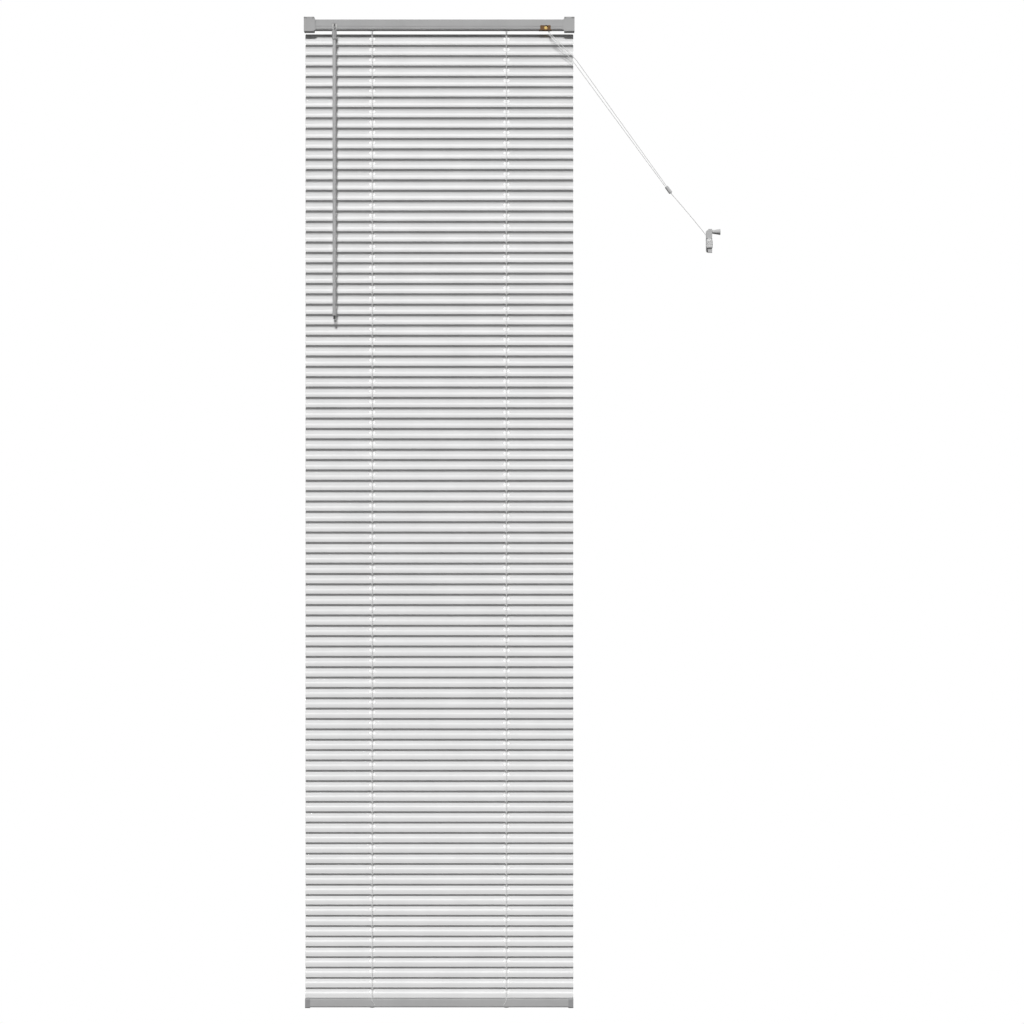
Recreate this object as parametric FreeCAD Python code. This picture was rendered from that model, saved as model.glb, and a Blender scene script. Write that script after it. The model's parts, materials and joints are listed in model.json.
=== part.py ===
"""Aluminium venetian blind, 25 mm slats, 600 mm wide and 2.2 m long.

Frame: +X to the right seen from the room, +Y towards the wall, +Z up. The origin is the centre of
the ceiling screw pattern, on the top plane of the two end brackets. Lengths are in millimetres.
"""
import FreeCAD
import Part
import math
import os

V = FreeCAD.Vector
X_AXIS = V(1, 0, 0)
Y_AXIS = V(0, 1, 0)
Z_AXIS = V(0, 0, 1)
ORIGIN = V(0, 0, 0)

# ---- driving dimensions -------------------------------------------------------------------------
HALF_WIDTH = 300.0            # outer faces of the end brackets
RAIL_TOP = -6.1
RAIL_BOTTOM = -28.4
RAIL_HALF_DEPTH = 12.5
RAIL_HALF_LENGTH = 297.5
SHEET = 0.6                   # headrail and bottom rail wall
LIP = 2.5                     # headrail edges rolled inwards
RAIL_BEND_R = 0.9             # outside radius of the headrail's bends
BEAD_R = 0.5                  # two half-round lengthwise beads on the headrail's front
BEAD_Z = (-20.9, -25.3)
BEAD_HALF_LENGTH = 274.0

BRACKET_SHEET = 1.0
BRACKET_INNER = 277.5         # inner edge of a bracket's plates
BRACKET_BOTTOM = -32.0
BRACKET_FRONT = -13.9
WALL = 16.0                   # plane of the wall, back of the brackets
MOUNT_X = 289.0
CEILING_HOLE_Y = 6.0
WALL_HOLE_Z = (-10.0, -22.0)
SCREW_HOLE_R = 2.25

GATE_INNER = 274.5
GATE_BOTTOM = -32.2
GATE_SHEET = 0.8
GATE_AXIS_Y = -13.2
GATE_AXIS_Z = -1.8
KNUCKLE_R = 1.6
GATE_PIN_R = 0.8
RUNNING = 0.05                # radial clearance of a pivot

SLATS = 93
HINGED = 18                   # slats with a node of their own; the others are in three groups
GROUP = 25
SLAT_WIDTH = 25.0
SLAT_THICK = 0.25
SLAT_CROWN = 2.0
SLAT_HALF_LENGTH = 297.5
SLAT_CORNER_R = 2.0
PITCH = 23.0
FIRST_SLAT_Z = -47.8
CLOSED_DEG = 72.0             # slats stored closed, front edge down
ROUTE_LENGTH = 14.0           # cord slot in a slat, along the slat
ROUTE_WIDTH = 7.0

LADDER_X = 149.0
STRING_R = 0.4
FRONT_STRING_Y = -7.1
BACK_STRING_Y = 6.9
CORD_R = 0.75
DROP_Y = 0.15                 # the lift cords hang in the middle of the closed slats' slots
CORD_GAP = 0.12               # between a cord's end and the piece it goes into

ROD_Z = -18.0                 # axis of the tilt rod, on y = 0
ROD_SIDE = 5.0
ROD_LEFT = -255.0
ROD_RIGHT = 176.0
DRUM_R = 6.4
DRUM_FLANGE_R = 7.0
DRUM_HALF = 7.0
JOURNAL_R = 4.0
JOURNAL_END = 12.0

TILTER_X = -232.0
TEETH = 18
WHEEL_PITCH_R = 5.4
WHEEL_OUTER_R = 6.0
WHEEL_ROOT_R = 4.6
WHEEL_HALF = 1.5
WORM_PITCH_R = 2.6
WORM_OUTER_R = 3.15
WORM_CORE_R = 1.85
WORM_HALF = 4.4
TOOTH = 0.65                  # tooth thickness at the pitch line, wheel and worm
STEM_R = 2.0
EYE_AT = 17.6                 # from the mesh point along the stem
EYE_OUTER_R = 3.6
EYE_HOLE_R = 2.0
EYE_THICK = 1.6

WIRE_R = 0.6
WAND_R = 4.2                  # across the hexagon's corners / 2
WAND_TOP = -32.0
WAND_BOTTOM = -663.2
WAND_TIP_BOTTOM = -670.6

LOCK_LEFT = 221.0
LOCK_RIGHT = 249.0
LOCK_BOTTOM = -29.2
LOCK_TOP = -9.0
GUIDE_X = 237.4
GUIDE_Z = -14.6
GUIDE_R = 3.6
ROLLER_X = 236.4
ROLLER_Z = -24.4
ROLLER_R = 3.6
ROLLER_TRAVEL = 1.9
ROLLER_SLOPE_DEG = 60.0
CORD_FALL_X = 241.9           # the cords run straight down here inside the lock
LOCK_FRONT = -12.2
LOCK_BACK = 9.0

BOTTOM_RAIL_TOP = -2177.6
BOTTOM_RAIL_BOTTOM = -2196.6
BOTTOM_RAIL_HALF_DEPTH = 11.0
CAP_LENGTH = 11.0
CAP_PROUD = 0.8

JOINER_LENGTH = 18.0
JOINER_R = 4.0
CLEAT_X = 599.8
CLEAT_Z = -495.9
CLEAT_SCREWS = 32.0           # between the two screw holes
CLEAT_POSTS = (-485.5, -517.4)
BAR_HALF_WIDTH = 4.2
BAR_FRONT = -2.0
BAR_BACK = 2.5
COIL_TOP = -491.9             # the cord is wound on the bar between these heights
COIL_BOTTOM = -511.9
COIL_DEPTH = 3.3              # two layers of cord
TASSEL_Y = 7.0
TASSEL_Z = -475.5


# ---- helpers ------------------------------------------------------------------------------------
def box(x0, x1, y0, y1, z0, z1):
    return Part.makeBox(x1 - x0, y1 - y0, z1 - z0, V(x0, y0, z0))


def rod(r, start, end):
    """A round bar between two points."""
    return Part.makeCylinder(r, (end - start).Length, start, end - start)


def polygon(points):
    return Part.Wire(Part.makePolygon(points + [points[0]]))


def prism(points, along):
    return Part.Face(polygon(points)).extrude(along)


def fused(shapes):
    whole = shapes[0].fuse(shapes[1:])
    return whole.removeSplitter()


def mirrored(shape):
    return shape.mirror(ORIGIN, X_AXIS)


def rounded_box(x0, x1, y0, y1, z0, z1, radius, axis):
    """A box whose edges along one axis are rounded."""
    solid = box(x0, x1, y0, y1, z0, z1)
    edges = [e for e in solid.Edges
             if abs(abs((e.Vertexes[1].Point - e.Vertexes[0].Point).normalize() * axis) - 1) < 1e-6]
    return solid.makeFillet(radius, edges)


def softened(solid, radius, is_edge):
    """The solid with a fillet on each edge whose bounding box passes the test."""
    return solid.makeFillet(radius, [e for e in solid.Edges if is_edge(e.BoundBox)])


def tube_along(points, r):
    """A round cord along straight runs joined by tangent arcs, as one solid."""
    edges = []
    start = points[0]
    for before, corner, after in zip(points, points[1:], points[2:]):
        into = (corner - before).normalize()
        out = (after - corner).normalize()
        half_turn = into.getAngle(out) / 2
        back = 0.45 * min((corner - before).Length, (after - corner).Length)
        radius = back / math.tan(half_turn)
        first = corner - into * back
        last = corner + out * back
        to_centre = (out - into).normalize()
        middle = corner + to_centre * (radius / math.cos(half_turn) - radius)
        edges.append(Part.LineSegment(start, first).toShape())
        edges.append(Part.Arc(first, middle, last).toShape())
        start = last
        print("cord arc radius", round(radius, 1))
    edges.append(Part.LineSegment(start, points[-1]).toShape())
    path = Part.Wire(edges)
    ring = Part.Wire(Part.makeCircle(r, points[0], points[1] - points[0]))
    solid = path.makePipeShell([ring], True, True)
    share = solid.Volume / (math.pi * r * r * path.Length)
    print("cord length", round(path.Length, 1), "volume share", round(share, 4))
    return solid


# ---- headrail and brackets ----------------------------------------------------------------------
def headrail():
    outer = [V(-RAIL_HALF_LENGTH, y, z) for y, z in rail_outline()]
    channel = prism(outer, V(2 * RAIL_HALF_LENGTH, 0, 0))
    channel = softened(channel, RAIL_BEND_R, is_outer_bend)
    front = -RAIL_HALF_DEPTH
    beads = [rod(BEAD_R, V(-BEAD_HALF_LENGTH, front, z), V(BEAD_HALF_LENGTH, front, z)) for z in BEAD_Z]
    channel = channel.fuse(beads)
    cuts = [box(x - 9, x + 9, -9, 9, RAIL_BOTTOM - 1, RAIL_BOTTOM + 1) for x in (-LADDER_X, LADDER_X)]
    cuts.append(box(TILTER_X - 5, TILTER_X + 5, -RAIL_HALF_DEPTH - 1, -10, RAIL_BOTTOM - 1, -15.0))
    cuts.append(box(LOCK_LEFT + 3, LOCK_RIGHT - 2, -RAIL_HALF_DEPTH - 1, -RAIL_HALF_DEPTH + 1,
                    RAIL_BOTTOM - 1, -19.0))
    cuts.append(box(LOCK_LEFT, LOCK_RIGHT, -RAIL_HALF_DEPTH - 1, LOCK_BACK, RAIL_BOTTOM - 1,
                    RAIL_BOTTOM + SHEET))
    return channel.cut(cuts).removeSplitter()


def is_outer_bend(bounds):
    lengthwise = bounds.XLength > RAIL_HALF_LENGTH
    at_side = abs(abs(bounds.YMin) - RAIL_HALF_DEPTH) < 0.01 and bounds.YLength < 0.01
    return lengthwise and at_side and min(abs(bounds.ZMin - z) for z in (RAIL_TOP, RAIL_BOTTOM)) < 0.01


def rail_outline():
    """Section of the open-topped channel: outside, then back along the inside."""
    d = RAIL_HALF_DEPTH
    inner = d - SHEET
    return [(-d, RAIL_TOP), (-d, RAIL_BOTTOM), (d, RAIL_BOTTOM), (d, RAIL_TOP),
            (d - LIP, RAIL_TOP), (d - LIP, RAIL_TOP - SHEET), (inner, RAIL_TOP - SHEET),
            (inner, RAIL_BOTTOM + SHEET), (-inner, RAIL_BOTTOM + SHEET),
            (-inner, RAIL_TOP - SHEET), (-d + LIP, RAIL_TOP - SHEET), (-d + LIP, RAIL_TOP)]


def end_cap():
    """Right-hand plug that closes the headrail and stands it on the bracket's floor."""
    inner = RAIL_HALF_DEPTH - SHEET - 0.1
    floor = BRACKET_BOTTOM + BRACKET_SHEET
    plug = box(RAIL_HALF_LENGTH - 8, RAIL_HALF_LENGTH, -inner, inner,
               RAIL_BOTTOM + SHEET, RAIL_TOP - SHEET)
    hollow = box(RAIL_HALF_LENGTH - 9, RAIL_HALF_LENGTH - 1, -inner + 1.2, inner - 1.2,
                 RAIL_BOTTOM + SHEET + 1.2, RAIL_TOP)
    flange = box(RAIL_HALF_LENGTH, HALF_WIDTH - BRACKET_SHEET, -RAIL_HALF_DEPTH, RAIL_HALF_DEPTH,
                 floor, RAIL_TOP)
    foot = box(RAIL_HALF_LENGTH - 12, RAIL_HALF_LENGTH, -RAIL_HALF_DEPTH, RAIL_HALF_DEPTH,
               floor, RAIL_BOTTOM)
    return fused([plug.cut(hollow), flange, foot])


def bracket():
    """Right-hand box bracket: top, floor, back and end plate, open towards the room."""
    x0, x1 = BRACKET_INNER, HALF_WIDTH
    t = BRACKET_SHEET
    knuckle_top = GATE_AXIS_Z + KNUCKLE_R
    top = box(x0, x1, GATE_AXIS_Y + KNUCKLE_R + 0.4, WALL, -t, 0)
    floor = box(x0, x1, BRACKET_FRONT, WALL, BRACKET_BOTTOM, BRACKET_BOTTOM + t)
    back = box(x0, x1, WALL - t, WALL, BRACKET_BOTTOM, 0)
    end = box(x1 - t, x1, BRACKET_FRONT, WALL, BRACKET_BOTTOM, GATE_AXIS_Z - KNUCKLE_R - 0.2)
    end_top = box(x1 - t, x1, GATE_AXIS_Y, WALL, GATE_AXIS_Z - KNUCKLE_R - 0.2, 0)
    parts = [top, floor, back, end, end_top]
    for k0, k1 in knuckles(x0, x1):
        axis = V(k0, GATE_AXIS_Y, GATE_AXIS_Z)
        parts.append(rod(KNUCKLE_R, axis, axis + V(k1 - k0, 0, 0)))
        parts.append(box(k0, k1, GATE_AXIS_Y, GATE_AXIS_Y + KNUCKLE_R + 1, knuckle_top - t, knuckle_top))
        parts.append(box(k0, k1, GATE_AXIS_Y + 1, GATE_AXIS_Y + KNUCKLE_R + 1, -t, 0))
    solid = fused(parts)
    pin = rod(GATE_PIN_R, V(x0 - 1, GATE_AXIS_Y, GATE_AXIS_Z), V(x1 + 1, GATE_AXIS_Y, GATE_AXIS_Z))
    holes = [pin]
    for y in (-CEILING_HOLE_Y, CEILING_HOLE_Y):
        holes.append(Part.makeCylinder(SCREW_HOLE_R, 4, V(MOUNT_X, y, -2)))
    for z in WALL_HOLE_Z:
        holes.append(Part.makeCylinder(SCREW_HOLE_R, 4, V(MOUNT_X, WALL - 2, z), Y_AXIS))
    return solid.cut(holes)


def knuckles(x0, x1):
    """The two knuckles of a bracket, either side of the gate's own."""
    return [(x0, x0 + 3.7), (x1 - 6.0, x1)]


def gate_pin():
    start = V(BRACKET_INNER, GATE_AXIS_Y, GATE_AXIS_Z)
    return rod(GATE_PIN_R, start, V(HALF_WIDTH, GATE_AXIS_Y, GATE_AXIS_Z))


def gate():
    """Right-hand front cover, hinged along its top edge and stiffened by upright ribs."""
    front = GATE_AXIS_Y - KNUCKLE_R
    inner_knuckle, outer_knuckle = knuckles(BRACKET_INNER, HALF_WIDTH)
    k0, k1 = inner_knuckle[1] + 0.3, outer_knuckle[0] - 0.3
    shoulder = GATE_AXIS_Z - KNUCKLE_R - 0.2
    outline = [V(GATE_INNER + 2.8, front, shoulder), V(HALF_WIDTH, front, shoulder),
               V(HALF_WIDTH, front, GATE_BOTTOM), V(GATE_INNER + 3.3, front, GATE_BOTTOM),
               V(GATE_INNER, front, GATE_BOTTOM + 4.0), V(GATE_INNER, front, -6.6)]
    plate = prism(outline, V(0, GATE_SHEET, 0))
    plate = softened(plate, 0.35, lambda bounds: bounds.YMax < front + 0.01)
    tongue = box(k0, k1, front, front + GATE_SHEET, shoulder, GATE_AXIS_Z)
    barrel = rod(KNUCKLE_R, V(k0, GATE_AXIS_Y, GATE_AXIS_Z), V(k1, GATE_AXIS_Y, GATE_AXIS_Z))
    ribs = [box(x - 0.7, x + 0.7, front - 0.3, front, GATE_BOTTOM + 4, -8.0)
            for x in (280.5, 287.5, 294.5)]
    bore = rod(GATE_PIN_R + RUNNING, V(k0 - 1, GATE_AXIS_Y, GATE_AXIS_Z),
               V(k1 + 1, GATE_AXIS_Y, GATE_AXIS_Z))
    return fused([plate, tongue, barrel] + ribs).cut(bore)


# ---- tilt mechanism -----------------------------------------------------------------------------
def square_bar(x0, x1, side):
    h = side / 2
    return box(x0, x1, -h, h, ROD_Z - h, ROD_Z + h)


def tilt_rod():
    return square_bar(ROD_LEFT, ROD_RIGHT, ROD_SIDE)


def tilt_drum(x):
    """Drum that winds one ladder up and down, keyed on the square rod."""
    axis = V(x, 0, ROD_Z)
    parts = [rod(DRUM_R, axis - X_AXIS * DRUM_HALF, axis + X_AXIS * DRUM_HALF),
             rod(JOURNAL_R, axis - X_AXIS * JOURNAL_END, axis + X_AXIS * JOURNAL_END)]
    for side in (-1, 1):
        edge = axis + X_AXIS * side * DRUM_HALF
        parts.append(rod(DRUM_FLANGE_R, edge - X_AXIS * side * 1.4, edge))
    keyway = square_bar(x - JOURNAL_END - 1, x + JOURNAL_END + 1, ROD_SIDE + 2 * RUNNING)
    return fused(parts).cut(keyway)


def drum_cradle(x):
    """Two cheeks with open bearings on a floor plate that has the cord hole."""
    half = RAIL_HALF_DEPTH - SHEET - 0.1
    floor_z = RAIL_BOTTOM + SHEET
    solid = box(x - 11.5, x + 11.5, -half, half, floor_z, floor_z + 0.9)
    cheeks = [box(c - 1.4, c + 1.4, -half, half, floor_z, -13.0) for c in (x - 10.0, x + 10.0)]
    solid = fused([solid] + cheeks)
    bearing = JOURNAL_R + RUNNING
    cuts = [rod(bearing, V(x - 13, 0, ROD_Z), V(x + 13, 0, ROD_Z)),
            box(x - 13, x + 13, -bearing, bearing, ROD_Z, -12.0),
            box(x - 7, x + 7, -8.5, 8.5, floor_z - 1, floor_z + 2),
            box(x - 13, x + 13, -7.0, 4.0, floor_z + 0.3, floor_z + 3.2)]
    return solid.cut(cuts)


STEM_DIR = V(0, -math.sqrt(0.5), -math.sqrt(0.5))      # down and towards the room
MESH_DIR = V(0, -math.sqrt(0.5), math.sqrt(0.5))       # from the wheel's axis to the worm's
WHEEL_CENTRE = V(TILTER_X, 0, ROD_Z)
WORM_CENTRE = WHEEL_CENTRE + MESH_DIR * (WHEEL_PITCH_R + WORM_PITCH_R)
EYE_CENTRE = WORM_CENTRE + STEM_DIR * EYE_AT
THREAD_PITCH = 2 * math.pi * WHEEL_PITCH_R / TEETH


def worm_wheel():
    """Wheel of the tilter with hub journals, keyed on the square rod."""
    start = V(TILTER_X - WHEEL_HALF, 0, ROD_Z)
    parts = [rod(WHEEL_ROOT_R, start, start + X_AXIS * 2 * WHEEL_HALF),
             rod(JOURNAL_R - 0.2, V(TILTER_X - 11.5, 0, ROD_Z), V(TILTER_X + 11.5, 0, ROD_Z))]
    root, tip = TOOTH * 0.8, TOOTH * 0.3
    low, high = WHEEL_ROOT_R - 0.3, WHEEL_OUTER_R
    for i in range(TEETH):
        turn = math.radians(135 + (i + 0.5) * 360.0 / TEETH)   # a gap faces the worm
        out = V(0, math.cos(turn), math.sin(turn))
        side = V(0, -math.sin(turn), math.cos(turn))
        corners = [start + out * low - side * root, start + out * low + side * root,
                   start + out * high + side * tip, start + out * high - side * tip]
        parts.append(prism(corners, X_AXIS * 2 * WHEEL_HALF))
    keyway = square_bar(TILTER_X - 13, TILTER_X + 13, ROD_SIDE + 2 * RUNNING)
    return fused(parts).cut(keyway)


def worm_placement():
    """Takes the worm from its own frame (axis +Z, wheel on +X) to its place in the tilter."""
    to_wheel = MESH_DIR * -1
    across = STEM_DIR.cross(to_wheel)
    m = FreeCAD.Matrix(to_wheel.x, across.x, STEM_DIR.x, WORM_CENTRE.x,
                       to_wheel.y, across.y, STEM_DIR.y, WORM_CENTRE.y,
                       to_wheel.z, across.z, STEM_DIR.z, WORM_CENTRE.z,
                       0, 0, 0, 1)
    return FreeCAD.Placement(m)


def tilter_worm():
    """Single-start right-hand worm with its stem and the flat eye that carries the wand."""
    length = 2 * WORM_HALF
    helix = Part.Wire(Part.makeHelix(THREAD_PITCH, length, WORM_PITCH_R))
    low, high = WORM_CORE_R - 0.35, WORM_OUTER_R
    root, tip = TOOTH * 0.8, TOOTH * 0.3
    profile = polygon([V(low, 0, -root), V(high, 0, -tip), V(high, 0, tip), V(low, 0, root)])
    thread = helix.makePipeShell([profile], True, True)
    thread.rotate(ORIGIN, Z_AXIS, -360.0 * WORM_HALF / THREAD_PITCH)
    thread.translate(V(0, 0, -WORM_HALF))
    core = Part.makeCylinder(WORM_CORE_R, length + 1.6, V(0, 0, -WORM_HALF - 0.8))
    worm = core.fuse(thread)
    stem_start = WORM_HALF + 0.6
    stem = Part.makeCylinder(STEM_R, EYE_AT - EYE_OUTER_R + 0.8 - stem_start, V(0, 0, stem_start))
    eye = Part.makeCylinder(EYE_OUTER_R, EYE_THICK, V(0, -EYE_THICK / 2, EYE_AT), Y_AXIS)
    neck = box(-STEM_R * 0.7, STEM_R * 0.7, -EYE_THICK / 2, EYE_THICK / 2,
               EYE_AT - EYE_OUTER_R - 1.0, EYE_AT - EYE_HOLE_R - 0.2)
    hole = Part.makeCylinder(EYE_HOLE_R, EYE_THICK + 2, V(0, -EYE_THICK / 2 - 1, EYE_AT), Y_AXIS)
    solid = worm.fuse(fused([stem, eye, neck]).cut(hole))
    solid.Placement = worm_placement()
    return solid


def tilter_housing():
    """Block that holds the wheel's hub in open bearings and the worm in an inclined bore."""
    x0, x1 = TILTER_X - 12.0, TILTER_X + 12.0
    block = box(x0, x1, -11.8, 8.5, RAIL_BOTTOM + SHEET, -8.5)
    hub = JOURNAL_R - 0.2 + RUNNING
    wheel_room = WHEEL_OUTER_R + 0.4
    wheel_x = WHEEL_HALF + 0.4
    worm_room = WORM_OUTER_R + 0.35
    upper = WORM_CENTRE - STEM_DIR * 9.0
    lower = WORM_CENTRE + STEM_DIR * (WORM_HALF + 1.0)
    sideways = V(0, 0, 1)
    cuts = [rod(hub, V(x0 - 1, 0, ROD_Z), V(x1 + 1, 0, ROD_Z)),
            box(x0 - 1, x1 + 1, -hub, hub, ROD_Z, 0),
            rod(wheel_room, V(TILTER_X - wheel_x, 0, ROD_Z), V(TILTER_X + wheel_x, 0, ROD_Z)),
            box(TILTER_X - wheel_x, TILTER_X + wheel_x, -wheel_room, wheel_room, ROD_Z, 0),
            rod(worm_room, upper, lower),
            prism([upper + V(-worm_room, 0, 0), upper + V(worm_room, 0, 0),
                   lower + V(worm_room, 0, 0), lower + V(-worm_room, 0, 0)], sideways * 20),
            rod(STEM_R + RUNNING, WORM_CENTRE, WORM_CENTRE + STEM_DIR * 14)]
    return block.cut(cuts).removeSplitter()


# ---- wand ---------------------------------------------------------------------------------------
def wand_hook():
    """Wire loop through the stem's eye, its two ends set in the wand's head."""
    x, y, z = EYE_CENTRE
    half, leg = 4.5, 1.3
    points = [V(x - leg, y, WAND_TOP - 12), V(x - leg, y, WAND_TOP + 0.5), V(x - half, y, z - 2.2),
              V(x - half, y, z), V(x + half, y, z), V(x + half, y, z - 2.2),
              V(x + leg, y, WAND_TOP + 0.5), V(x + leg, y, WAND_TOP - 12)]
    parts = [rod(WIRE_R, a, b) for a, b in zip(points, points[1:])]
    parts += [Part.makeSphere(WIRE_R, p) for p in points[1:-1]]
    return fused(parts)


def wand():
    x, y, _ = EYE_CENTRE
    corners = [V(x + WAND_R * math.cos(math.radians(60 * i)), y + WAND_R * math.sin(math.radians(60 * i)),
                 WAND_BOTTOM) for i in range(6)]
    body = prism(corners, V(0, 0, WAND_TOP - WAND_BOTTOM))
    socket = Part.makeCylinder(2.1, 14, V(x, y, WAND_TOP - 13))
    return body.cut(socket)


def wand_sleeve():
    """Collar that slides over the hook's joint with the wand."""
    x, y, _ = EYE_CENTRE
    outer = Part.makeCylinder(WAND_R + 0.95, 20, V(x, y, WAND_TOP - 19))
    outer = softened(outer, 0.4, lambda bounds: bounds.ZLength < 0.01)
    return outer.cut(Part.makeCylinder(WAND_R + 0.2, 22, V(x, y, WAND_TOP - 20)))


def wand_tip():
    x, y, _ = EYE_CENTRE
    button = Part.makeCylinder(2.5, WAND_BOTTOM - WAND_TIP_BOTTOM, V(x, y, WAND_TIP_BOTTOM))
    return button.makeChamfer(0.6, [e for e in button.Edges if e.BoundBox.ZMax < WAND_TIP_BOTTOM + 0.1])


# ---- cord lock ----------------------------------------------------------------------------------
def roller_path():
    slope = math.radians(ROLLER_SLOPE_DEG)
    return V(math.cos(slope), 0, math.sin(slope))


def slot_through(centre_x, centre_z, r, y0, y1, travel):
    """An inclined slot that a round bar of radius r can move along."""
    start = V(centre_x, y0, centre_z)
    end = start + roller_path() * travel
    side = V(-roller_path().z, 0, roller_path().x) * r
    depth = V(0, y1 - y0, 0)
    middle = prism([start + side, end + side, end - side, start - side], depth)
    return fused([Part.makeCylinder(r, y1 - y0, start, Y_AXIS),
                  Part.makeCylinder(r, y1 - y0, end, Y_AXIS), middle])


def cord_lock_housing():
    block = box(LOCK_LEFT, LOCK_RIGHT, LOCK_FRONT, LOCK_BACK, LOCK_BOTTOM, LOCK_TOP)
    front_wall, back_wall = LOCK_FRONT + 2.7, LOCK_BACK - 2.5
    jaw = CORD_FALL_X + CORD_R + 0.7
    cuts = [box(LOCK_LEFT + 8, jaw, front_wall, back_wall, LOCK_BOTTOM - 1, LOCK_TOP + 1),
            box(LOCK_LEFT - 1, LOCK_LEFT + 9, front_wall, back_wall, -24.0, LOCK_TOP + 1),
            rod(1.25, V(GUIDE_X, LOCK_FRONT - 1, GUIDE_Z), V(GUIDE_X, LOCK_BACK + 1, GUIDE_Z)),
            slot_through(ROLLER_X, ROLLER_Z, ROLLER_R + 0.1, LOCK_FRONT - 1, front_wall + 1, ROLLER_TRAVEL),
            slot_through(ROLLER_X, ROLLER_Z, 1.5, back_wall - 1, LOCK_BACK + 1, ROLLER_TRAVEL),
            box(LOCK_LEFT - 1, LOCK_LEFT + 3, LOCK_FRONT - 1, LOCK_BACK + 1,
                RAIL_BOTTOM - 0.01, -19.0 + 0.01),
            box(LOCK_RIGHT - 2, LOCK_RIGHT + 1, LOCK_FRONT - 1, -RAIL_HALF_DEPTH + SHEET + 0.05,
                RAIL_BOTTOM - 0.01, LOCK_TOP + 1),
            box(LOCK_LEFT - 1, LOCK_RIGHT + 1, LOCK_FRONT - 1, -RAIL_HALF_DEPTH + SHEET + 0.05,
                -19.0, LOCK_TOP + 1)]
    return block.cut(cuts).removeSplitter()


def cord_lock_guide():
    """Smooth roller on its axle, over which the cords turn down."""
    body = rod(GUIDE_R, V(GUIDE_X, -9.2, GUIDE_Z), V(GUIDE_X, 6.2, GUIDE_Z))
    axle = rod(1.2, V(GUIDE_X, -11.8, GUIDE_Z), V(GUIDE_X, LOCK_BACK, GUIDE_Z))
    return fused([body, axle])


def cord_lock_roller():
    """Knurled roller that climbs its slot and pinches the cords against the jaw."""
    flutes = 24
    points = []
    for i in range(2 * flutes):
        r = ROLLER_R if i % 2 == 0 else ROLLER_R - 0.35
        turn = math.pi * i / flutes
        points.append(V(ROLLER_X + r * math.cos(turn), -12.0, ROLLER_Z + r * math.sin(turn)))
    body = prism(points, V(0, 18.2, 0))
    trunnion = rod(1.4, V(ROLLER_X, 6.0, ROLLER_Z), V(ROLLER_X, LOCK_BACK, ROLLER_Z))
    return fused([body, trunnion])


# ---- slats --------------------------------------------------------------------------------------
def slat_at_origin():
    """One slat lying open: crowned, with rounded corners and two cord slots, its top on the axis."""
    half = SLAT_WIDTH / 2
    radius = (half ** 2 + SLAT_CROWN ** 2) / (2 * SLAT_CROWN)
    t = SLAT_THICK / 2
    x0 = -SLAT_HALF_LENGTH

    def arc(offset):
        r = radius + offset
        edge_y = half * r / radius
        edge_z = -radius + (radius - SLAT_CROWN) * r / radius
        return V(x0, -edge_y, edge_z), V(x0, 0, offset), V(x0, edge_y, edge_z)

    top, bottom = arc(t), arc(-t)
    outline = Part.Wire([Part.Arc(*top).toShape(), Part.LineSegment(top[2], bottom[2]).toShape(),
                         Part.Arc(bottom[2], bottom[1], bottom[0]).toShape(),
                         Part.LineSegment(bottom[0], top[0]).toShape()])
    strip = Part.Face(outline).extrude(V(2 * SLAT_HALF_LENGTH, 0, 0))
    blank = rounded_box(-SLAT_HALF_LENGTH, SLAT_HALF_LENGTH, -half - 0.1, half + 0.1, -5, 5,
                        SLAT_CORNER_R, Z_AXIS)
    strip = strip.common(blank)
    slot_half = ROUTE_LENGTH / 2
    for x in (-LADDER_X, LADDER_X):
        strip = strip.cut(rounded_box(x - slot_half, x + slot_half, -ROUTE_WIDTH / 2, ROUTE_WIDTH / 2,
                                      -5, 5, ROUTE_WIDTH / 2 - 0.01, Z_AXIS))
    return strip


def slat(shape, index):
    """Slat number index, counted from 0 at the top, closed with its front edge down."""
    placed = shape.copy()
    placed.rotate(ORIGIN, X_AXIS, CLOSED_DEG)
    placed.translate(V(0, 0, FIRST_SLAT_Z - PITCH * index))
    return placed


# ---- ladders and lift cords ---------------------------------------------------------------------
def ladder_strings(x):
    """The two upright strings of one ladder, from the drum to the bottom rail."""
    bottom = BOTTOM_RAIL_TOP + 0.1
    return Part.makeCompound([Part.makeCylinder(STRING_R, ROD_Z - bottom, V(x, y, bottom))
                              for y in (FRONT_STRING_Y, BACK_STRING_Y)])


CORD_BEND_Z = -26.1            # the cords run along the headrail's floor here


def lift_cord_drops():
    bottom = BOTTOM_RAIL_TOP + 0.1
    top = RAIL_BOTTOM - 0.6
    return Part.makeCompound([Part.makeCylinder(CORD_R, top - bottom, V(x, DROP_Y, bottom))
                              for x in (-LADDER_X, LADDER_X)])


def lift_cord_run(x, lane):
    """One lift cord inside the headrail: up through the floor, along it and over the lock's guide."""
    top_z = GUIDE_Z + GUIDE_R + CORD_R + 0.15
    points = [V(x, DROP_Y, RAIL_BOTTOM - 0.6 + CORD_GAP), V(x, DROP_Y, CORD_BEND_Z),
              V(x + 20, lane, CORD_BEND_Z + 0.1),
              V(200, lane, CORD_BEND_Z), V(CORD_FALL_X - 8.5, lane, top_z),
              V(CORD_FALL_X, lane, top_z), V(CORD_FALL_X, lane, -21.0)]
    return tube_along(points, CORD_R)


# ---- pull cords, joiner, cleat and tassel -------------------------------------------------------
JOINER_DIR = V(0.586, 0.025, -0.810).normalize()
JOINER_CENTRE = V(508.6, -5.8, -383.1)
JOINER_TOP = JOINER_CENTRE - JOINER_DIR * (JOINER_LENGTH / 2)
JOINER_END = JOINER_CENTRE + JOINER_DIR * (JOINER_LENGTH / 2)
JOINER_SIDE = V(0.810, 0, 0.586).normalize()
FRONT_LANE = -5.4
BACK_LANE = -2.4
LOCK_Z = -21.0 - CORD_GAP

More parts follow.
